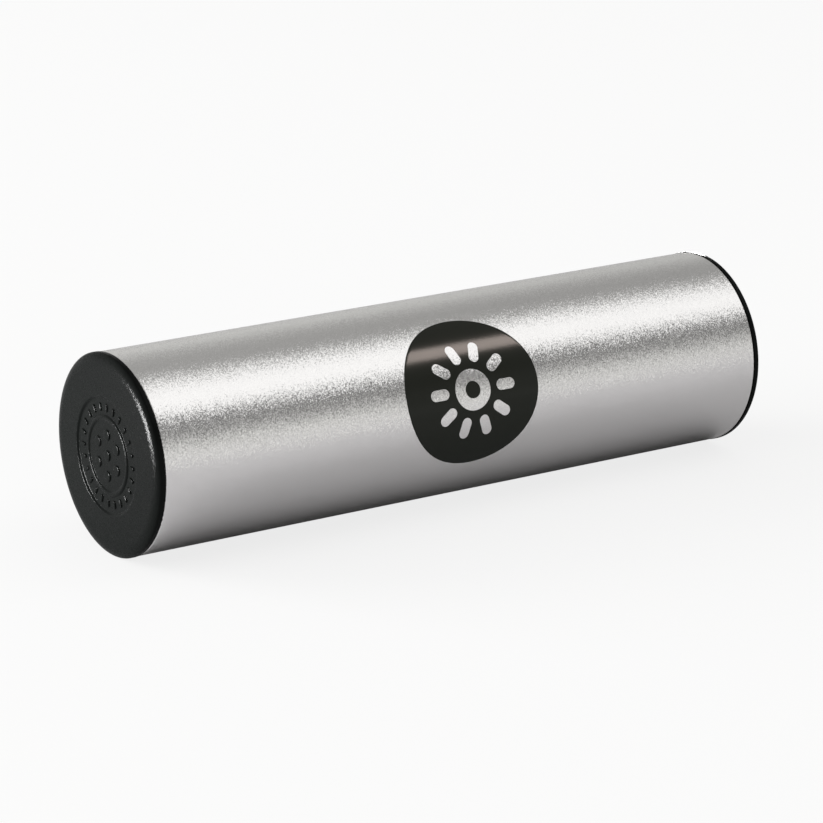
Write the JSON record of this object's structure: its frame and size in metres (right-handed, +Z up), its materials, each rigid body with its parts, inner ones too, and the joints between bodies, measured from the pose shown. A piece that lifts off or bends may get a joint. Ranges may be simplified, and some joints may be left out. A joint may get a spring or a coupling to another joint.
{
  "type": "percussion shaker",
  "caption": "Hand-held tube shaker: a satin metal tube closed by a black moulded plug at each end, with a round label on its side and loose shot inside.",
  "frame": {"origin": "on the surface that the shaker lies on, under the middle of its length", "axes": "+X along the tube, +Z up; the label faces -Y, tilted upwards"},
  "size_m": [0.2162, 0.0604, 0.0603],
  "materials": {
    "aluminium": "bead-blasted satin",
    "black_plastic": "fine moulded texture, satin",
    "label_film": "gloss film",
    "steel_shot": "bright steel"
  },
  "bodies": {
    "shell": {"tube": "aluminium", "label": "label_film", "left_end_plug": "black_plastic", "right_end_plug": "black_plastic"},
    "lead_ball": {"shot_lead_ball": "steel_shot"},
    "shot_row_1": {"shot_row_1_ball_1": "steel_shot", "shot_row_1_ball_2": "steel_shot", "shot_row_1_ball_3": "steel_shot", "shot_row_1_ball_4": "steel_shot", "shot_row_1_ball_5": "steel_shot", "shot_row_1_ball_6": "steel_shot", "shot_row_1_ball_7": "steel_shot"},
    "shot_row_2": {"shot_row_2_ball_1": "steel_shot", "shot_row_2_ball_2": "steel_shot", "shot_row_2_ball_3": "steel_shot", "shot_row_2_ball_4": "steel_shot", "shot_row_2_ball_5": "steel_shot", "shot_row_2_ball_6": "steel_shot", "shot_row_2_ball_7": "steel_shot"},
    "shot_row_3": {"shot_row_3_ball_1": "steel_shot", "shot_row_3_ball_2": "steel_shot", "shot_row_3_ball_3": "steel_shot", "shot_row_3_ball_4": "steel_shot", "shot_row_3_ball_5": "steel_shot", "shot_row_3_ball_6": "steel_shot", "shot_row_3_ball_7": "steel_shot"},
    "shot_row_4": {"shot_row_4_ball_1": "steel_shot", "shot_row_4_ball_2": "steel_shot", "shot_row_4_ball_3": "steel_shot", "shot_row_4_ball_4": "steel_shot", "shot_row_4_ball_5": "steel_shot", "shot_row_4_ball_6": "steel_shot", "shot_row_4_ball_7": "steel_shot"},
    "shot_row_5": {"shot_row_5_ball_1": "steel_shot", "shot_row_5_ball_2": "steel_shot", "shot_row_5_ball_3": "steel_shot", "shot_row_5_ball_4": "steel_shot", "shot_row_5_ball_5": "steel_shot", "shot_row_5_ball_6": "steel_shot", "shot_row_5_ball_7": "steel_shot"},
    "shot_row_6": {"shot_row_6_ball_1": "steel_shot", "shot_row_6_ball_2": "steel_shot", "shot_row_6_ball_3": "steel_shot", "shot_row_6_ball_4": "steel_shot", "shot_row_6_ball_5": "steel_shot", "shot_row_6_ball_6": "steel_shot", "shot_row_6_ball_7": "steel_shot"},
    "shot_row_7": {"shot_row_7_ball_1": "steel_shot", "shot_row_7_ball_2": "steel_shot", "shot_row_7_ball_3": "steel_shot", "shot_row_7_ball_4": "steel_shot", "shot_row_7_ball_5": "steel_shot", "shot_row_7_ball_6": "steel_shot", "shot_row_7_ball_7": "steel_shot"}
  },
  "joints": [
    {"name": "shot_travel", "type": "slide", "parent": "shell", "child": "lead_ball", "axis": [1, 0, 0], "range_m": [-0.07025, 0.07025]},
    {"name": "shot_row_1_swirl", "type": "hinge", "parent": "lead_ball", "child": "shot_row_1", "pos_m": [0, 0, 0.03013], "axis": [1, 0, 0], "continuous": true},
    {"name": "shot_row_2_swirl", "type": "hinge", "parent": "lead_ball", "child": "shot_row_2", "pos_m": [0, 0, 0.03013], "axis": [1, 0, 0], "continuous": true},
    {"name": "shot_row_3_swirl", "type": "hinge", "parent": "lead_ball", "child": "shot_row_3", "pos_m": [0, 0, 0.03013], "axis": [1, 0, 0], "continuous": true},
    {"name": "shot_row_4_swirl", "type": "hinge", "parent": "lead_ball", "child": "shot_row_4", "pos_m": [0, 0, 0.03013], "axis": [1, 0, 0], "continuous": true},
    {"name": "shot_row_5_swirl", "type": "hinge", "parent": "lead_ball", "child": "shot_row_5", "pos_m": [0, 0, 0.03013], "axis": [1, 0, 0], "continuous": true},
    {"name": "shot_row_6_swirl", "type": "hinge", "parent": "lead_ball", "child": "shot_row_6", "pos_m": [0, 0, 0.03013], "axis": [1, 0, 0], "continuous": true},
    {"name": "shot_row_7_swirl", "type": "hinge", "parent": "lead_ball", "child": "shot_row_7", "pos_m": [0, 0, 0.03013], "axis": [1, 0, 0], "continuous": true}
  ]
}
